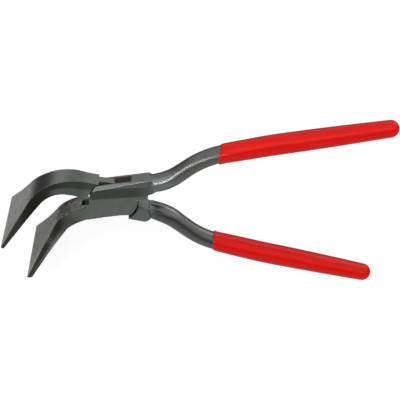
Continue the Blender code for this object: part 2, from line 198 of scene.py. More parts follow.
def evaluated(ob):
    bpy.context.view_layer.update()
    deps = bpy.context.evaluated_depsgraph_get()
    return bpy.data.meshes.new_from_object(ob.evaluated_get(deps))


def apply(ob):
    """Bake the object's modifiers into its mesh."""
    me = evaluated(ob)
    ob.modifiers.clear()
    ob.data = me
    return ob


def combine(ob, tool, how):
    mod = ob.modifiers.new(how.lower(), "BOOLEAN")
    mod.operation, mod.solver, mod.object = how, "EXACT", tool
    apply(ob)
    bm = bmesh.new()
    bm.from_mesh(ob.data)
    bmesh.ops.remove_doubles(bm, verts=bm.verts, dist=2e-7)
    bm.to_mesh(ob.data)
    bm.free()
    bpy.data.objects.remove(tool, do_unlink=True)
    return ob


def join(ob, tool):
    return combine(ob, tool, "UNION")


def cut(ob, tool):
    return combine(ob, tool, "DIFFERENCE")


def co_of(ob):
    co = np.empty(len(ob.data.vertices) * 3, np.float32)
    ob.data.vertices.foreach_get("co", co)
    return co.reshape(-1, 3).astype(float) / MM


def remesh(ob, size):
    mod = ob.modifiers.new("voxels", "REMESH")
    mod.mode, mod.voxel_size, mod.use_smooth_shade = "VOXEL", size * MM, True
    return apply(ob)


def soften(ob, weights, steps, factor=0.5):
    """Smooth the mesh where the weights say; weights run from 0 to 1."""
    group = ob.vertex_groups.new(name="soft")
    levels = np.round(np.clip(weights, 0, 1) * 20).astype(int)
    for q in range(1, 21):
        ids = np.nonzero(levels == q)[0]
        if len(ids):
            group.add(ids.tolist(), q / 20, "REPLACE")
    mod = ob.modifiers.new("soften", "SMOOTH")
    mod.factor, mod.iterations, mod.vertex_group = factor, steps, "soft"
    apply(ob)
    ob.vertex_groups.clear()
    return ob


def near(co, centre, inner, outer, scale=(1, 1, 1)):
    """1 within `inner` of a point, falling to 0 at `outer`, mm."""
    d = np.linalg.norm((co - np.array(centre)) * np.array(scale), axis=1)
    return 1 - ramp(d, inner, outer)


# ------------------------------------------------------------------- the jaws
def jaw(name, inner, inner_r, outer, outer_r, mate_half, n=150):
    """Wedge blade: mating face on `inner`, back on `outer`, flaring to the tip."""
    pin = bend_path(inner, (inner_r,), 0.5)[::-1]
    pout = bend_path(outer, (outer_r,), 0.5)[::-1]
    li, lo = lengths(pin)[-1], lengths(pout)[-1]
    rings = []
    for k in range(n + 1):
        f = k / n
        (xi, zi), (xo, zo) = at_length(pin, f * li), at_length(pout, f * lo)
        hi = float(smooth_table(mate_half, f * li))
        ho = float(smooth_table(BACK_HALF, f * lo))
        hi += (ROOT_HALF - hi) * float(ramp(xi, -26.5, -19.5))
        ho += (ROOT_HALF - 0.2 - ho) * float(ramp(xo, -34.0, -22.0))
        rings.append([(xi, -hi, zi), (xi, hi, zi), (xo, ho, zo), (xo, -ho, zo)])
    return skin(name, rings)


# -------------------------------------------------------------------- handles
axes = {1: bend_path(AXIS_UPPER, AXIS_R, 0.9), -1: bend_path(AXIS_LOWER, AXIS_R, 0.9)}
TABLE_R = {1: TANG_R, -1: TANG_LOWER_R}


def bar_points(start, end, sign, table, extra=0.0, gap=0.9):
    """(point, direction, radius) down a handle, with a rounded nose at the end."""
    axis = axes[sign]
    n = int((end - start) / gap)
    xs = np.linspace(start, end, n + 1)
    zs = np.interp(xs, axis[:, 0], axis[:, 1])
    p = np.stack([xs, AXIS_Z + sign * zs], 1)
    r = np.array([float(smooth_table(table, x)) for x in xs]) * GROW[sign] + extra
    end_r = r[-1]
    keep = np.linalg.norm(p - p[-1], axis=1) > end_r * 1.02
    tip, d = p[-1], p[-1] - p[-2]
    d = d / np.linalg.norm(d)
    p, r = list(p[keep]), list(r[keep])
    for a in np.r_[0:84:7.0, 86.0, 88.5]:
        p.append(tip - d * end_r * (1 - sin(radians(a))))
        r.append(end_r * cos(radians(a)))
    p, r = np.array(p), np.array(r)
    t = np.gradient(p, axis=0)
    t /= np.linalg.norm(t, axis=1)[:, None]
    return p, t, r


def bar_rings(p, t, r, sides):
    rings = []
    for (x, z), (tx, tz), q in zip(p, t, r):
        rings.append([(x - tz * q * sin(a), q * cos(a), z + tx * q * sin(a))
                      for a in 2 * pi * np.arange(sides) / sides])
    return rings


TANG_FLAT = {1: 0.95, -1: 0.84}      # the roots are forged thinner across


def tang(name, sign, start):
    p, t, r = bar_points(start, GRIP_END[sign] - WALL_END, sign, TABLE_R[sign])
    rings = []
    for ring in bar_rings(p, t, r, 64):
        flat = TANG_FLAT[sign]
        rings.append([(x, y * (flat + (1 - flat) * float(ramp(x, 29.0, 42.0))), z)
                      for x, y, z in ring])
    return skin(name, rings)


def grip(name, sign):
    """Dip-coated sleeve: rounded nose, a soft lip at the dip line, a bore inside."""
    start = GRIP_START[sign]
    p, t, r = bar_points(start - 3.0, GRIP_END[sign] - 0.25, sign, GRIP_R, -0.20)
    pb, tb, rb = bar_points(start - 3.0, GRIP_END[sign] - WALL_END, sign,
                            TABLE_R[sign], 0.03)
    sides = 96
    lean = tan(radians(DIP_LEAN[sign]))
    axis = axes[sign]
    zc = AXIS_Z + sign * float(np.interp(start, axis[:, 0], axis[:, 1]))
    ang = 2 * pi * np.arange(sides) / sides
    # the dip line wanders a little round the handle
    wander = 0.16 * np.sin(ang * 2 + 0.7) + 0.10 * np.sin(ang * 3 + 2.1 * sign)

    def drape(rings, pts):
        """Slide the first rings along the handle until ring 0 is the dip line."""
        out = []
        for ring, (x, z) in zip(rings, pts):
            f = 1 - float(ramp(x - (start - 3.0), 0.0, 9.0))
            out.append([(px + (start + (pz - zc) * lean + w
                               - (start - 3.0) - (px - x)) * f, py, pz)
                        for (px, py, pz), w in zip(ring, wander)])
        return out

    outer = drape(bar_rings(p, t, r, sides), p)
    inner = drape(bar_rings(pb, tb, rb, sides), pb)
    bm = bmesh.new()
    rows = [[bm.verts.new(Vector(q) * MM) for q in ring]
            for ring in inner[::-1] + outer_with_lip(np.array(inner[0]),
                                                     np.array(outer[0]), outer)]
    for a, b in zip(rows, rows[1:]):
        for k in range(sides):
            bm.faces.new((a[k], a[(k + 1) % sides], b[(k + 1) % sides], b[k]))
    bm.faces.new(rows[0][::-1])
    bm.faces.new(rows[-1])
    return new_object(name, bm)


def outer_with_lip(first_i, first_o, outer):
    """Rings from the bore's edge, round a quarter-round lip, and down the coat."""
    rings = []
    for a in (15, 30, 45, 60, 75, 88):
        k = sin(radians(a))
        ring = first_i + (first_o - first_i) * k
        ring[:, 0] = first_o[:, 0] + 1.0 * (1 - cos(radians(a)))
        rings.append(ring.tolist())
    edge = 1.0
    out = []
    for ring in outer:
        ring = np.array(ring)
        if (ring[:, 0] - first_o[:, 0]).min() > edge + 0.3:
            out.append(ring.tolist())
    return rings + out


# ----------------------------------------------------------------- the two halves
a_top = degrees(atan2(BOX_TOP, -sqrt(CHEEK_FRONT_R ** 2 - BOX_TOP ** 2)))
TOP_X = CHEEK_FRONT_R * cos(radians(a_top))
TOP_SLOPE = (BOX_TOP_REAR - BOX_TOP) / (BOX_REAR - TOP_X)
a_jaw = 180 + degrees(np.arcsin(2.4 / CHEEK_FRONT_R))
a_heel = degrees(np.arcsin(BOX_HEEL / CHEEK_REAR_R))
a_low = degrees(np.arcsin(-(BOX_LOW + 0.8) / CHEEK_REAR_R))
box_outline = ([(BOX_REAR - 0.8, BOX_TOP_REAR)] + arc(CHEEK_FRONT_R, a_top, a_jaw, 60)
               + [(-22.0, -3.0), (-22.0, -13.0), (2.0, -BOX_LOW)]
               + arc(CHEEK_REAR_R, a_low, a_heel, 40)
               + [(BOX_HEEL_X, BOX_HEEL), (BOX_HEEL_X + 0.6, 2.6),
                  (BOX_REAR, 3.2), (BOX_REAR + 3.0, 3.9), (BOX_REAR + 4.6, 8.0),
                  (BOX_REAR + 3.4, 11.6), (BOX_REAR + 1.3, 13.6)])

FACET_TILT = 6.0             # the upper part of each cheek leans in, degrees
FACET_SLOPE = -0.0638        # and the line where the lean starts falls to the rear
FACET_LEVEL = 3.594


def facet_z(x):
    """Height where the lean starts."""
    return FACET_LEVEL + FACET_SLOPE * x


def bevel_z(x):
    """Height where the top edge's bevel starts."""
    return 11.2 + 0.074 * (x + 12.0)


def top_z(x):
    return BOX_TOP + TOP_SLOPE * (x - TOP_X)


def ground_box(name):
    """The box block with its leaning facets and tapering top bevels."""
    box = plate(name, box_outline, -BOX_T, BOX_T)
    lean = tan(radians(FACET_TILT))
    for side in (-1, 1):
        rings = []
        for x in (-40.0, 45.0):
            z = facet_z(x)
            rings.append([(x, side * BOX_T, z), (x, side * (BOX_T - (24 - z) * lean), 24.0),
                          (x, side * 12.0, 24.0), (x, side * 12.0, z)])
        cut(box, skin("facet", rings))
        rings = []
        for x in (-40.0, 45.0):
            zb, zt = bevel_z(x), top_z(x)
            if side > 0:                 # the far edge is only just broken
                zb = zt - 0.55
            y_low = BOX_T - (zb - facet_z(x)) * lean
            y_top = y_low - 0.62 * (zt - zb)
            k = (y_top - y_low) / (zt - zb)
            rings.append([(x, side * (y_low - k * 6), zb - 6), (x, side * (y_low + k * 12), zb + 12),
                          (x, side * 14.0, zb + 12), (x, side * 14.0, zb - 6)])
        cut(box, skin("bevel", rings))
    return box


outer = ground_box("outer_half_forging")
join(outer, jaw("lower_jaw", LOWER_IN, LOWER_IN_R, LOWER_OUT, LOWER_OUT_R,
                LOWER_MATE_HALF))
join(outer, tang("upper_tang", 1, 18.0))
slot_outline = [(SLOT_REAR, 30.0), (-30.0, 30.0), (SLOT_FRONT, -1.8),
                (-15.5, -20.0), (SLOT_REAR_LOW, -20.0), (SLOT_REAR_LOW, -0.2),
                (SLOT_REAR, 0.6)]
cut(outer, plate("slot", slot_outline, -SLOT_HALF, SLOT_HALF))

inner = jaw("inner_half_forging", UPPER_IN, UPPER_IN_R, UPPER_OUT, UPPER_OUT_R,
            MATE_HALF)
cut(inner, drum("front_arc", SHOULDER_FRONT_R, -20.0, 20.0, 192))
shoulder = [(16.0, -12.9), (25.6, -12.9), (28.0, -11.0), (29.2, -8.8), (27.9, -6.0),
            (26.6, -3.6), (25.8, -1.3), (15.0, -1.3)]
block = plate("lower_shoulder", shoulder, -BOX_T, BOX_T)
toe = [(12.9, -12.9), (18.0, -12.9), (19.0, -7.0), (18.0, -3.0), (15.0, -5.0)]
join(block, plate("shoulder_toe", toe, -BOX_T + 0.003, BOX_T - 0.003))
cut(block, drum("rear_arc", SHOULDER_REAR_R, -20.0, 20.0, 192))
join(inner, block)
join(inner, tang("lower_tang", -1, 25.2))
web = [(25.3, -1.8), (26.4, -0.5), (29.5, -0.1), (33.0, -0.3), (37.0, -1.3),
       (41.0, -3.5), (37.0, -7.0), (29.0, -9.0), (25.6, -8.0)]
join(inner, plate("root_web", web, -5.2, 5.2))
tenon_outline = [(-21.5, 2.6), (-20.5, 12.6), (-15.5, 13.3), (-13.0, 14.0),
                 (-4.0, 14.6), (-2.6, 14.3), (7.0, 8.25), (11.5, 5.4),
                 (14.2, 2.4), (14.4, -1.0), (20.0, -2.6), (20.0, -11.6),
                 (13.6, -12.1), (2.0, -12.1), (-7.0, -10.6), (-14.0, -6.0),
                 (-18.6, 0.4)]
join(inner, plate("tenon", tenon_outline, -TENON_HALF, TENON_HALF))

for ob in (outer, inner):
    remesh(ob, VOXEL)
    soften(ob, np.ones(len(ob.data.vertices)), 3)

# the lower shoulder flows into its handle; the box flows into the upper handle
co = co_of(inner)
soften(inner, ramp(co[:, 0], 28.6, 31.0) * (1 - ramp(co[:, 0], 41.0, 46.0)), 60)
co = co_of(outer)
soften(outer, ramp(co[:, 0], 28.0, 31.0) * (1 - ramp(co[:, 0], 36.0, 40.0)), 60)

# rivet bore and countersinks, cut clean after the forging
def rivet_bore(ob, heads):
    cut(ob, drum("bore", RIVET_R + HAIRLINE, -20.0, 20.0))
    if heads:
        grow = (RIVET_HEAD_R - RIVET_R) / RIVET_HEAD_H
        for side in (-1, 1):
            y_in, y_out = side * (BOX_T - RIVET_HEAD_H), side * (BOX_T + 2.0)
            r_in, r_out = RIVET_R + HAIRLINE, RIVET_R + HAIRLINE + grow * (RIVET_HEAD_H + 2.0)
            cut(ob, drum("countersink", r_in, y_in, y_out, r1=r_out))


rivet_bore(outer, True)
rivet_bore(inner, False)

rings = []
grow = (RIVET_HEAD_R - RIVET_R) / RIVET_HEAD_H
for y, r in ((-7.5, RIVET_HEAD_R + grow), (-BOX_T + RIVET_HEAD_H, RIVET_R),
             (BOX_T - RIVET_HEAD_H, RIVET_R), (7.5, RIVET_HEAD_R + grow)):
    rings.append([(r * cos(2 * pi * k / 128), y, r * sin(2 * pi * k / 128))
                  for k in range(128)])
rivet = skin("pivot_rivet_flush", rings)
combine(rivet, ground_box("box_again"), "INTERSECT")

upper_grip = grip("upper_grip_dip", 1)
lower_grip = grip("lower_grip_dip", -1)


# ------------------------------------------------- local coordinates and masks
def set_attribute(ob, name, values):
    values = np.asarray(values, np.float32)
    kind = "FLOAT_VECTOR" if values.ndim == 2 else "FLOAT"
    a = ob.data.attributes.new(name, kind, "POINT")
    a.data.foreach_set("vector" if values.ndim == 2 else "value", values.ravel())


def mesh_arrays(ob):
    me = ob.data
    n = np.empty(len(me.vertices) * 3, np.float32)
    me.vertices.foreach_get("normal", n)
    e = np.empty(len(me.edges) * 2, np.int32)
    me.edges.foreach_get("vertices", e)
    return co_of(ob), n.reshape(-1, 3).astype(float), e.reshape(-1, 2)


def average(values, edges, count, steps):
    """Diffuse a per-vertex value over the mesh."""
    deg = np.bincount(edges.ravel(), minlength=count).clip(1)
    for _ in range(steps):
        s = (np.bincount(edges[:, 0], values[edges[:, 1]], count)
             + np.bincount(edges[:, 1], values[edges[:, 0]], count))
        values = 0.4 * values + 0.6 * s / deg
    return values


def edge_wear(co, nor, edges):
    """Convexity of the surface at each vertex: about 1 on an outside edge."""
    d = co[edges[:, 1]] - co[edges[:, 0]]
    length = np.linalg.norm(d, axis=1).clip(1e-6)
    ca = -(nor[edges[:, 0]] * d).sum(1) / length
    cb = (nor[edges[:, 1]] * d).sum(1) / length
    n = len(co)
    deg = np.bincount(edges.ravel(), minlength=n).clip(1)
    c = (np.bincount(edges[:, 0], ca, n) + np.bincount(edges[:, 1], cb, n)) / deg
    return c


def path_distance(p, path):
    """Distance from each point (x, z) to a polyline."""
    best = np.full(len(p), 1e9)
    for a, b in zip(path, path[1:]):
        d = b - a
        t = np.clip((p - a) @ d / (d @ d), 0, 1)
        best = np.minimum(best, np.linalg.norm(p - a - t[:, None] * d, axis=1))
    return best


def steel_masks(ob, inner_half):
    """Per-vertex masks: where each half is ground, worn, darker in its hollows, banded with painted
    dark reflection, or left as forged.
    """
    co, nor, edges = mesh_arrays(ob)
    n = len(co)
    wear = average(edge_wear(co, nor, edges), edges, n, 2)
    set_attribute(ob, "local", co)
    set_attribute(ob, "wear", np.clip(wear * 4.0, 0, 1))
    set_attribute(ob, "hollow", np.clip(-wear * 4.0, 0, 1))
    x, y, z = co.T
    c_in, r_in = (UPPER_IN, UPPER_IN_R) if inner_half else (LOWER_IN, LOWER_IN_R)
    c_out, r_out = (UPPER_OUT, UPPER_OUT_R) if inner_half else (LOWER_OUT, LOWER_OUT_R)
    at_jaw = x < -15.0
    d_in, d_out = np.full(n, 99.0), np.full(n, 99.0)
    d_in[at_jaw] = path_distance(co[at_jaw][:, (0, 2)], bend_path(c_in, (r_in,), 2.0))
    d_out[at_jaw] = path_distance(co[at_jaw][:, (0, 2)], bend_path(c_out, (r_out,), 2.0))
    across = 1 - ramp(np.abs(nor[:, 1]), 0.55, 0.8)
    set_attribute(ob, "mate", across * (1 - ramp(d_in, 0.5, 0.9)))
    b0, b1 = np.array(c_out[1]), np.array(c_out[2])
    d = (b1 - b0) / np.linalg.norm(b1 - b0)
    flat = np.abs(nor[:, 0] * d[1] - nor[:, 2] * d[0])
    set_attribute(ob, "back", across * (1 - ramp(d_out, 0.5, 0.9))
                  * ramp(flat, 0.93, 0.99) * ramp(-x, 51.0, 62.0))
    # painted dark reflection: a dark band runs along the upper half of each jaw's narrow sides
    share = d_in / (d_in + d_out)
    if inner_half:
        painted_dark_band = ramp(share, 0.42, 0.60)
        painted_dark_band = np.maximum(painted_dark_band, ramp(-x, 42.0, 50.0))
    else:
        painted_dark_band = (1 - ramp(share, 0.46, 0.92)) * ramp(-x, 31.0, 44.0)
        painted_dark_band = np.maximum(painted_dark_band, 0.9 * ramp(-x, 52.0, 66.0))
    set_attribute(ob, "painted_dark_band", np.where(at_jaw, painted_dark_band, 0.0))
    set_attribute(ob, "bend", np.where(at_jaw, ramp(-x, 20.0, 28.0)
                                       * (1 - ramp(-x, 38.0, 47.0)), 0.0))
    set_attribute(ob, "blade", ramp(-x, 34.0, 46.0))
    set_attribute(ob, "shank", ramp(x, 26.0, 33.0))


steel_masks(outer, False)
steel_masks(inner, True)
set_attribute(rivet, "local", co_of(rivet))
for mask in ("wear", "hollow", "mate", "back", "painted_dark_band", "bend", "blade", "shank"):
    set_attribute(rivet, mask, np.zeros(len(rivet.data.vertices)))
for ob in (upper_grip, lower_grip):
    set_attribute(ob, "local", co_of(ob))


def place(ob, angle):
    ob.data.transform(Matrix.Translation(PIVOT)
                      @ Matrix.Rotation(-radians(angle), 4, "Y"))


for ob in (outer, rivet, upper_grip):
    place(ob, OUTER_ANGLE)
for ob in (inner, lower_grip):
    place(ob, INNER_ANGLE)
for ob in (outer, inner, rivet, upper_grip, lower_grip):
    ob.data.shade_smooth()
for ob in (outer, inner, rivet):
    ob.data.set_sharp_from_angle(angle=radians(40))


# ------------------------------------------------------------------- materials
class Nodes:
    """Short way to write a node tree."""

    def __init__(self, name):
        self.mat = bpy.data.materials.new(name)
        self.mat.use_nodes = True
        self.tree = self.mat.node_tree
        self.tree.nodes.clear()
        self.out = self.tree.nodes.new("ShaderNodeOutputMaterial")
        self.bsdf = self.tree.nodes.new("ShaderNodeBsdfPrincipled")
        self.tree.links.new(self.bsdf.outputs[0], self.out.inputs[0])

    def link(self, value, socket):
        if isinstance(value, bpy.types.NodeSocket):
            self.tree.links.new(value, socket)
        else:
            socket.default_value = value

    def attribute(self, name, vector=False):
        n = self.tree.nodes.new("ShaderNodeAttribute")
        n.attribute_name = name
        return n.outputs["Vector" if vector else "Fac"]

    def split(self, vector):
        n = self.tree.nodes.new("ShaderNodeSeparateXYZ")
        self.tree.links.new(vector, n.inputs[0])
        return n.outputs[0], n.outputs[1], n.outputs[2]

    def math(self, how, a, b=0.0, c=0.0, clamp=False):
        n = self.tree.nodes.new("ShaderNodeMath")
        n.operation, n.use_clamp = how, clamp
        for v, s in zip((a, b, c), n.inputs):
            self.link(v, s)
        return n.outputs[0]

    def scaled(self, vector, scale, turn=0.0):
        n = self.tree.nodes.new("ShaderNodeMapping")
        n.vector_type = "POINT"
        self.link(vector, n.inputs["Vector"])
        n.inputs["Scale"].default_value = scale
        n.inputs["Rotation"].default_value = (0, radians(turn), 0)
        return n.outputs[0]

    def noise(self, vector, scale, detail=3.0, rough=0.5, distort=0.0):
        n = self.tree.nodes.new("ShaderNodeTexNoise")
        self.link(vector, n.inputs["Vector"])
        n.inputs["Scale"].default_value = scale
        n.inputs["Detail"].default_value = detail
        n.inputs["Roughness"].default_value = rough
        n.inputs["Distortion"].default_value = distort
        return n.outputs["Fac"]

    def voronoi(self, vector, scale):
        n = self.tree.nodes.new("ShaderNodeTexVoronoi")
        self.link(vector, n.inputs["Vector"])
        n.inputs["Scale"].default_value = scale
        return n.outputs["Distance"]

    def span(self, value, a, b, lo=0.0, hi=1.0):
        n = self.tree.nodes.new("ShaderNodeMapRange")
        n.interpolation_type = "SMOOTHSTEP"
        self.link(value, n.inputs["Value"])
        for s, v in zip(("From Min", "From Max", "To Min", "To Max"), (a, b, lo, hi)):
            n.inputs[s].default_value = v
        return n.outputs["Result"]

    def mix(self, fac, a, b, how="MIX"):
        n = self.tree.nodes.new("ShaderNodeMix")
        n.data_type, n.blend_type = "RGBA", how
        self.link(fac, n.inputs[0])
        self.link(a, n.inputs[6])
        self.link(b, n.inputs[7])
        return n.outputs[2]

    def blend(self, fac, a, b):
        n = self.tree.nodes.new("ShaderNodeMix")
        n.data_type = "FLOAT"
        self.link(fac, n.inputs[0])
        self.link(a, n.inputs[2])
        self.link(b, n.inputs[3])
        return n.outputs[0]

    def bump(self, height, strength, distance, normal=None):
        n = self.tree.nodes.new("ShaderNodeBump")
        n.inputs["Strength"].default_value = strength
        n.inputs["Distance"].default_value = distance * MM
        self.link(height, n.inputs["Height"])
        if normal is not None:
            self.tree.links.new(normal, n.inputs["Normal"])
        return n.outputs[0]


STEEL = 1.52                 # overall reflectance of the oiled steel


def steel(name, mate_turn, back_turn, box_half, upper_jaw):
    """Oiled dark forged steel with ground faces, fine streaks and worn edges, plus painted
    highlights, dark reflections and shade.
    """
    m = Nodes(name)
    at = m.attribute("local", True)
    wear, hollow = m.attribute("wear"), m.attribute("hollow")
    mate, back = m.attribute("mate"), m.attribute("back")
    painted_dark_band, bend = m.attribute("painted_dark_band"), m.attribute("bend")
    blade, shank = m.attribute("blade"), m.attribute("shank")
    x, y, z = m.split(at)
    _, ny, nz = m.split(m.tree.nodes.new("ShaderNodeNewGeometry").outputs["Normal"])
    side = m.span(m.math("ABSOLUTE", ny), 0.66, 0.82)

    grain = m.noise(at, 1.15, 4.0, 0.62)
    cloud = m.noise(at, 0.11, 3.0, 0.55, 0.6)
    blotch = m.noise(at, 0.33, 4.0, 0.62, 0.8)
    fine = m.noise(at, 3.6, 2.0, 0.6)
    # grinding streaks: very long along one direction of each face
    streak_back = m.noise(m.scaled(at, (1.5, 0.09, 0.4), back_turn), 1.1, 4.0, 0.65, 0.35)
    streak_mate = m.noise(m.scaled(at, (0.28, 2.2, 0.9), mate_turn), 1.1, 4.0, 0.7)
    streak_cheek = m.noise(m.scaled(at, (0.10, 1.0, 2.6)), 1.5, 4.0, 0.65)

    base = m.mix(m.span(cloud, 0.35, 0.68), (0.118, 0.132, 0.124, 1),
                 (0.150, 0.162, 0.150, 1))
    base = m.mix(m.span(grain, 0.35, 0.75, 0.0, 0.40), base, (0.19, 0.20, 0.185, 1))
    # the shanks are a little browner
    shade = m.mix(m.span(blotch, 0.35, 0.65), (0.172, 0.172, 0.162, 1),
                  (0.205, 0.205, 0.193, 1))
    shade = m.mix(m.span(grain, 0.42, 0.62, 0.0, 0.50), shade, (0.120, 0.122, 0.116, 1))
    base = m.mix(m.math("MULTIPLY", shank, 0.9), base, shade)
    # ground back of the blade
    ground = m.mix(m.span(streak_back, 0.34, 0.66), (0.24, 0.245, 0.232, 1),
                   (0.50, 0.51, 0.485, 1))
    base = m.mix(back, base, ground)
    if upper_jaw:
        # painted shade and painted highlight on the upper jaw's bend: a dark band, then a light
        # patch on its upward-facing back
        painted_bend_shade = m.math("MULTIPLY", m.span(x, -61.0, -55.5), m.span(x, -51.0, -45.5, 1.0, 0.0))
        base = m.mix(m.math("MULTIPLY", painted_bend_shade, 0.80), base, (0.080, 0.085, 0.078, 1))
        painted_bend_highlight = m.math("MULTIPLY", m.span(x, -48.5, -43.0), m.span(x, -42.0, -32.0, 1.0, 0.0))
        painted_bend_highlight = m.math("MULTIPLY", m.math("MULTIPLY", painted_bend_highlight, m.span(nz, 0.3, 0.6)),
                        m.span(streak_back, 0.30, 0.60, 0.25, 0.70))
        base = m.mix(painted_bend_highlight, base, (0.30, 0.315, 0.305, 1))
    # mating face: worn, mottled with brown oil
    worn = m.mix(m.span(streak_mate, 0.40, 0.60), (0.130, 0.122, 0.098, 1),
                 (0.420, 0.405, 0.365, 1))
    worn = m.mix(m.span(blotch, 0.48, 0.62, 0.0, 0.78), worn, (0.085, 0.080, 0.056, 1))
    bright = m.math("MULTIPLY", m.span(y, -8.0, -24.0), m.span(grain, 0.35, 0.60, 0.25, 0.8))
    worn = m.mix(m.math("MULTIPLY", bright, blade), worn, (0.60, 0.590, 0.550, 1))
    lip = m.math("MULTIPLY", m.span(y, -3.0, -7.0), m.span(x, -62.0, -48.0))
    worn = m.mix(m.math("MULTIPLY", lip, m.span(grain, 0.32, 0.60, 0.15, 0.70)), worn,
                 (0.44, 0.430, 0.395, 1))
    worn = m.mix(m.span(fine, 0.52, 0.70, 0.0, 0.45), worn, (0.05, 0.048, 0.040, 1))
    base = m.mix(m.math("MULTIPLY", mate, m.blend(blade, 0.75, 1.0)), base, worn)
    # painted shade: the mating face's far side is darkened near the jaw's root, where the jaws meet
    painted_far_shade = m.math("MULTIPLY", m.math("MULTIPLY", mate, bend), m.span(y, 1.0, 6.5))
    base = m.mix(m.math("MULTIPLY", painted_far_shade, 0.70), base, (0.05, 0.05, 0.045, 1))
    # painted light at the shank roots: a bluish painted highlight on the upper one's -Y side,
    # painted shade in the lower one's pocket behind the shoulder
    if box_half:
        painted_root_light = m.math("MULTIPLY", m.span(x, 28.5, 31.5), m.span(x, 38.0, 52.0, 1.0, 0.0))
        painted_root_light = m.math("MULTIPLY", painted_root_light, m.span(ny, -0.35, -0.85))
        base = m.mix(m.math("MULTIPLY", painted_root_light, 0.85), base, (0.36, 0.40, 0.405, 1))
    else:
        painted_root_light = m.math("MULTIPLY", m.span(x, 28.0, 31.0), m.span(x, 36.0, 48.0, 1.0, 0.0))
        base = m.mix(m.math("MULTIPLY", painted_root_light, 0.75), base, (0.105, 0.108, 0.102, 1))
    # the upper shank is the darker one; on the lower one, painted shade darkens the top near the
    # grip
    if box_half:
        dim = m.math("MULTIPLY", shank, 0.92)
    else:
        dim = m.math("MULTIPLY", m.math("MULTIPLY", shank, m.span(x, 50.0, 72.0)),
                     m.span(nz, 0.15, 0.60))
    base = m.mix(dim, base, m.mix(1.0, base, (0.68, 0.67, 0.66, 1), "MULTIPLY"))
    # the jaws' unground skin is darker with oil
    skin = m.math("MULTIPLY", m.span(x, -28.0, -20.0, 1.0, 0.0),
                  m.math("SUBTRACT", 1.0, m.math("MAXIMUM", back, m.math("MULTIPLY", mate, 0.7))))
    base = m.mix(m.math("MULTIPLY", skin, 0.9), base,
                 m.mix(1.0, base, (0.70, 0.71, 0.68, 1), "MULTIPLY"))
    # narrow sides
    base = m.mix(m.math("MULTIPLY", side, m.span(streak_cheek, 0.3, 0.7, 0.15, 0.5)),
                 base, (0.175, 0.195, 0.182, 1))
    # painted dark reflection: the band on the narrow sides, darkest towards the blade tips
    low = (0.062, 0.066, 0.056, 1) if upper_jaw else (0.068, 0.072, 0.062, 1)
    dark = m.mix(blade, low, (0.030, 0.032, 0.026, 1) if upper_jaw
                 else (0.018, 0.019, 0.015, 1))
    base = m.mix(m.math("MULTIPLY", side, m.math("MULTIPLY", painted_dark_band, 0.95)), base, dark)
    if box_half:
        # painted dark reflection on each cheek's leaning facet, fading towards the rear
        border = m.math("MULTIPLY_ADD", x, FACET_SLOPE, FACET_LEVEL)
        over = m.math("SUBTRACT", z, border)
        facet = m.math("MULTIPLY", m.span(over, -0.25, 0.30), m.span(x, -19.6, -18.6))
        # above a second, steeper line the painted dark reflection stops, so the cheek there keeps
        # the top's lighter colour
        under = m.math("SUBTRACT", m.math("MULTIPLY_ADD", x, -0.062, 11.75), z)
        facet = m.math("MULTIPLY", facet, m.span(under, -0.25, 0.25))
        # painted highlight: a thin light line along that second line, on the flat side faces
        painted_edge_highlight = m.math("MULTIPLY", m.span(m.math("ABSOLUTE", under), 0.10, 0.45, 1.0, 0.0),
                        m.math("MULTIPLY", m.span(m.math("ABSOLUTE", ny), 0.88, 0.95),
                               m.span(x, -14.0, -8.0)))
        painted_edge_highlight = m.math("MULTIPLY", painted_edge_highlight, m.span(x, 24.0, 27.5, 0.55, 0.0))
        base = m.mix(painted_edge_highlight, base, (0.30, 0.315, 0.30, 1))
        facet = m.math("MULTIPLY",
                       m.math("MULTIPLY", facet, m.span(m.math("ABSOLUTE", ny), 0.88, 0.95)),
                       m.span(x, 15.0, 31.0, 1.0, 0.30))
        tone = m.mix(m.span(streak_cheek, 0.3, 0.7), (0.066, 0.069, 0.062, 1),
                     (0.082, 0.086, 0.078, 1))
        base = m.mix(m.math("MULTIPLY", facet, 0.96), base, tone)
        # painted shade on the slot's inner walls, tinted brown
        slot_shade = m.math("MULTIPLY", m.span(m.math("ABSOLUTE", y), SLOT_HALF + 0.05,
                                         SLOT_HALF + 0.35, 1.0, 0.0),
                      m.math("MULTIPLY", m.span(x, 13.4, 16.2, 1.0, 0.0),
                             m.span(x, -24.0, -20.0)))
    else:
        # painted shade on the tenon's flanks inside the slot
        slot_shade = m.math("MULTIPLY", m.span(m.math("ABSOLUTE", y), TENON_HALF - 0.5,
                                         TENON_HALF - 0.1),
                      m.math("MULTIPLY", m.math("MULTIPLY", side, m.span(x, -20.0, -18.5)),
                             m.span(x, 14.0, 15.5, 1.0, 0.0)))
        slot_shade = m.math("MULTIPLY", slot_shade, m.span(m.math("ABSOLUTE", y), TENON_HALF + 0.2,
                                               TENON_HALF + 0.5, 1.0, 0.0))
    if not box_half:                     # painted shade: a dark band along the lower shank's sides
        painted_shade_stripe = m.math("MULTIPLY", m.span(m.math("ABSOLUTE", ny), 0.72, 0.95), shank)
        base = m.mix(m.math("MULTIPLY", painted_shade_stripe, m.span(x, 26.0, 76.0, 0.85, 0.55)), base,
                     (0.088, 0.096, 0.094, 1))
    if box_half:                         # the long chamfer beside the top is duller
        slant = m.math("MULTIPLY", m.span(m.math("ABSOLUTE", ny), 0.45, 0.60),
                       m.span(m.math("ABSOLUTE", ny), 0.78, 0.88, 1.0, 0.0))
        slant = m.math("MULTIPLY", slant, m.math("MULTIPLY", m.span(z, 9.5, 10.5),
                                                 m.span(x, 26.0, 28.0, 1.0, 0.0)))
        base = m.mix(m.math("MULTIPLY", slant, 0.65), base, (0.078, 0.084, 0.079, 1))
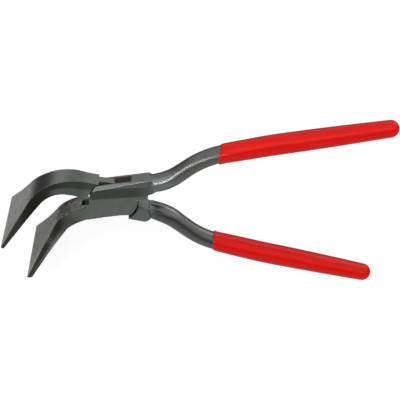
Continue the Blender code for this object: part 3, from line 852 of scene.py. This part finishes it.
    # edges rubbed bright, concave corners darker
    rub = m.math("MULTIPLY", m.span(wear, 0.30, 0.85), m.span(fine, 0.34, 0.66, 0.10, 1.0))
    strong = m.math("MULTIPLY", m.span(x, 12.0, 16.0), m.span(z, -4.0, -2.5))
    base = m.mix(m.math("MULTIPLY", rub, m.span(strong, 0.0, 1.0, 0.30, 0.0 if box_half else 0.75)),
                 base, (0.30, 0.315, 0.30, 1))
    hollow_dark = m.math("MULTIPLY", m.span(hollow, 0.15, 0.7, 0.0, 0.70),
                  m.math("SUBTRACT", 1.0, m.math("MULTIPLY", shank, 0.9)))
    base = m.mix(hollow_dark, base, (0.032, 0.033, 0.030, 1))
    base = m.mix(1.0, base, (STEEL, STEEL, STEEL, 1), "MULTIPLY")
    # the painted shade in the slot replaces the colour and turns the metal mostly off
    base = m.mix(slot_shade, base, (0.080, 0.070, 0.050, 1) if box_half else (0.022, 0.021, 0.018, 1))
    m.link(base, m.bsdf.inputs["Base Color"])
    m.link(m.math("SUBTRACT", 1.0, m.math("MULTIPLY", slot_shade, 0.8)), m.bsdf.inputs["Metallic"])

    rough = m.span(grain, 0.3, 0.7, 0.31, 0.42)
    rough = m.blend(shank, rough, m.span(grain, 0.3, 0.7, 0.27, 0.37))
    rough = m.blend(back, rough, m.span(streak_back, 0.3, 0.7, 0.30, 0.42))
    rough = m.blend(mate, rough, m.span(streak_mate, 0.3, 0.7, 0.36, 0.52))
    rough = m.blend(m.math("MULTIPLY", rub, 0.6), rough, 0.28)
    m.link(rough, m.bsdf.inputs["Roughness"])

    pits = m.span(m.voronoi(at, 1.3), 0.05, 0.42)
    height = m.math("ADD", m.math("MULTIPLY", grain, 0.55), m.math("MULTIPLY", pits, 0.25))
    height = m.math("ADD", height, m.math("MULTIPLY", m.math("MULTIPLY", blotch, shank), 0.20))
    flat = m.math("MAXIMUM", m.math("MAXIMUM", back, m.math("MULTIPLY", mate, 0.3)),
                  m.math("MULTIPLY", side, m.math("SUBTRACT", 1.0, shank)))
    height = m.math("MULTIPLY", height, m.math("SUBTRACT", 1.0, m.math("MULTIPLY", flat, 0.8)))
    streaks = m.math("ADD", m.math("MULTIPLY", streak_back, back),
                     m.math("ADD", m.math("MULTIPLY", streak_mate, mate),
                            m.math("MULTIPLY", streak_cheek, m.math("MULTIPLY", side, 0.5))))
    normal = m.bump(height, 0.5, 0.10)
    normal = m.bump(streaks, 0.6, 0.06, normal)
    m.link(normal, m.bsdf.inputs["Normal"])
    # a thin film of oil
    m.bsdf.inputs["Coat Weight"].default_value = 0.40
    m.bsdf.inputs["Coat Roughness"].default_value = 0.10
    m.link(m.bump(m.math("MULTIPLY", grain, m.span(shank, 0.0, 1.0, 0.3, 1.0)), 0.8, 0.09),
           m.bsdf.inputs["Coat Normal"])
    return m.mat


def dipped(name, colour, seed):
    """Bright red dip-coated PVC: satin skin with faint flow marks."""
    m = Nodes(name)
    at = m.attribute("local", True)
    flow = m.noise(m.scaled(at, (0.05, 0.35, 0.35)), 1.0 + 0.1 * seed, 3.0, 0.5)
    skin_ = m.noise(at, 0.55, 3.0, 0.5)
    speck = m.noise(at, 2.6, 2.0, 0.5)
    deep = tuple(c * 0.86 for c in colour)
    base = m.mix(m.span(flow, 0.35, 0.65), (*deep, 1), (*colour, 1))
    base = m.mix(m.span(speck, 0.62, 0.74, 0.0, 0.35), base,
                 (colour[0] * 0.78, colour[1] * 0.8, colour[2] * 0.8, 1))
    m.link(base, m.bsdf.inputs["Base Color"])
    m.link(m.span(skin_, 0.3, 0.7, 0.13, 0.19), m.bsdf.inputs["Roughness"])
    height = m.math("ADD", m.math("MULTIPLY", flow, 0.7), m.math("MULTIPLY", speck, 0.06))
    m.link(m.bump(height, 0.25, 0.22), m.bsdf.inputs["Normal"])
    m.bsdf.inputs["Specular IOR Level"].default_value = 0.30
    return m.mat


def face_turn(a, b):
    return degrees(atan2(b[1] - a[1], b[0] - a[0]))


steel_a = steel("forged_steel_outer", face_turn(*LOWER_IN[1:]), face_turn(*LOWER_OUT[1:]),
                True, False)
steel_b = steel("forged_steel_inner", face_turn(*UPPER_IN[1:]), face_turn(*UPPER_OUT[1:]),
                False, True)
steel_r = steel("forged_steel_rivet", 0.0, 0.0, True, False)
red_a = dipped("red_dip_upper", (0.80, 0.0040, 0.0014), 0)
red_b = dipped("red_dip_lower", (0.80, 0.0040, 0.0014), 1)

for ob, mat in ((outer, steel_a), (inner, steel_b), (rivet, steel_r),
                (upper_grip, red_a), (lower_grip, red_b)):
    ob.data.materials.clear()
    ob.data.materials.append(mat)

for ob, body, node, slot in (
        (outer, "outer", "outer_half", "forged_steel"),
        (rivet, "outer", "pivot_rivet", "rivet_steel"),
        (upper_grip, "outer", "upper_grip", "red_grip"),
        (inner, "inner", "inner_half", "forged_steel"),
        (lower_grip, "inner", "lower_grip", "red_grip")):
    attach(ob, body)
    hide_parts(node)

# ------------------------------------------------------- floor, light and camera
bm = bmesh.new()
bmesh.ops.create_grid(bm, x_segments=40, y_segments=40, size=6.0)
floor = new_object("studio_floor", bm)
floor.location = (0, 0, -0.024)
floor.visible_glossy = False
floor.visible_diffuse = False
m = Nodes("studio_floor_paper")
coords = m.tree.nodes.new("ShaderNodeTexCoord").outputs["Object"]
m.link(m.mix(m.noise(coords, 40.0, 2.0), (0.35, 0.35, 0.35, 1), (0.36, 0.36, 0.36, 1)),
       m.bsdf.inputs["Base Color"])
m.bsdf.inputs["Emission Color"].default_value = (1, 1, 1, 1)
m.bsdf.inputs["Emission Strength"].default_value = 0.79
m.bsdf.inputs["Roughness"].default_value = 0.9
m.bsdf.inputs["Specular IOR Level"].default_value = 0.1
floor.data.materials.append(m.mat)

scene = bpy.context.scene
world = bpy.data.worlds.new("studio")
scene.world = world
world.use_nodes = True
nt = world.node_tree
nt.nodes.clear()
w_out = nt.nodes.new("ShaderNodeOutputWorld")
w_mix = nt.nodes.new("ShaderNodeMixShader")
w_path = nt.nodes.new("ShaderNodeLightPath")
w_soft = nt.nodes.new("ShaderNodeBackground")
w_soft.inputs["Color"].default_value = (1.0, 1.0, 1.0, 1)
w_soft.inputs["Strength"].default_value = 0.42
w_room = nt.nodes.new("ShaderNodeBackground")
w_room.inputs["Strength"].default_value = 1.0
w_dir = nt.nodes.new("ShaderNodeTexCoord")
w_sep = nt.nodes.new("ShaderNodeSeparateXYZ")
w_ramp = nt.nodes.new("ShaderNodeValToRGB")
nt.links.new(w_dir.outputs["Generated"], w_sep.inputs[0])
w_add = nt.nodes.new("ShaderNodeMapRange")
for s, v in zip(("From Min", "From Max", "To Min", "To Max"), (-1.0, 1.0, 0.0, 1.0)):
    w_add.inputs[s].default_value = v
nt.links.new(w_sep.outputs["Z"], w_add.inputs["Value"])
nt.links.new(w_add.outputs["Result"], w_ramp.inputs["Fac"])
stops = [(0.0, 0.46), (0.20, 0.45), (0.30, 0.38), (0.39, 0.19), (0.45, 0.12),
         (0.56, 0.12), (0.64, 0.29), (0.71, 0.55), (0.79, 0.66), (1.0, 0.70)]
ramp_ = w_ramp.color_ramp
while len(ramp_.elements) < len(stops):
    ramp_.elements.new(0.5)
for e, (p, v) in zip(ramp_.elements, stops):
    e.position = p
    e.color = (v, v * 1.005, v * 1.01, 1)
nt.links.new(w_ramp.outputs["Color"], w_room.inputs["Color"])
nt.links.new(w_path.outputs["Is Glossy Ray"], w_mix.inputs["Fac"])
nt.links.new(w_soft.outputs[0], w_mix.inputs[1])
nt.links.new(w_room.outputs[0], w_mix.inputs[2])
nt.links.new(w_mix.outputs[0], w_out.inputs["Surface"])


def soft_box(name, where, target, size, power, tint=(1, 1, 1)):
    light = bpy.data.lights.new(name, "AREA")
    light.shape, light.size, light.size_y = "RECTANGLE", *size
    light.energy, light.color = power, tint
    ob = bpy.data.objects.new(name, light)
    scene.collection.objects.link(ob)
    ob.location = where
    ob.rotation_euler = (Vector(target) - Vector(where)).to_track_quat("-Z", "Y").to_euler()
    return ob


middle = (0.0, 0.0, 0.06)
key = soft_box("key", (-0.30, -1.00, 0.95), middle, (0.9, 0.7), 11.2)
key.visible_glossy = False
strip = soft_box("strip", (-0.72, -1.03, 0.34), middle, (1.10, 0.05), 2.9)
strip.visible_diffuse = False
panel = soft_box("panel", (0.95, 0.62, 1.0), middle, (0.8, 0.8), 1.7, (0.92, 0.97, 1.0))
panel.visible_diffuse = False

cam_data = bpy.data.cameras.new("camera")
cam = bpy.data.objects.new("camera", cam_data)
scene.collection.objects.link(cam)
cam.location = (-0.05406965, -0.61978082, 0.54943831)
cam.rotation_euler = (0.9025481939, -0.1104943827, -0.0019316419)
cam_data.lens, cam_data.sensor_width = 97.2, 36.0
cam_data.clip_start, cam_data.clip_end = 0.01, 50.0
scene.camera = cam
scene.view_settings.view_transform = "Standard"
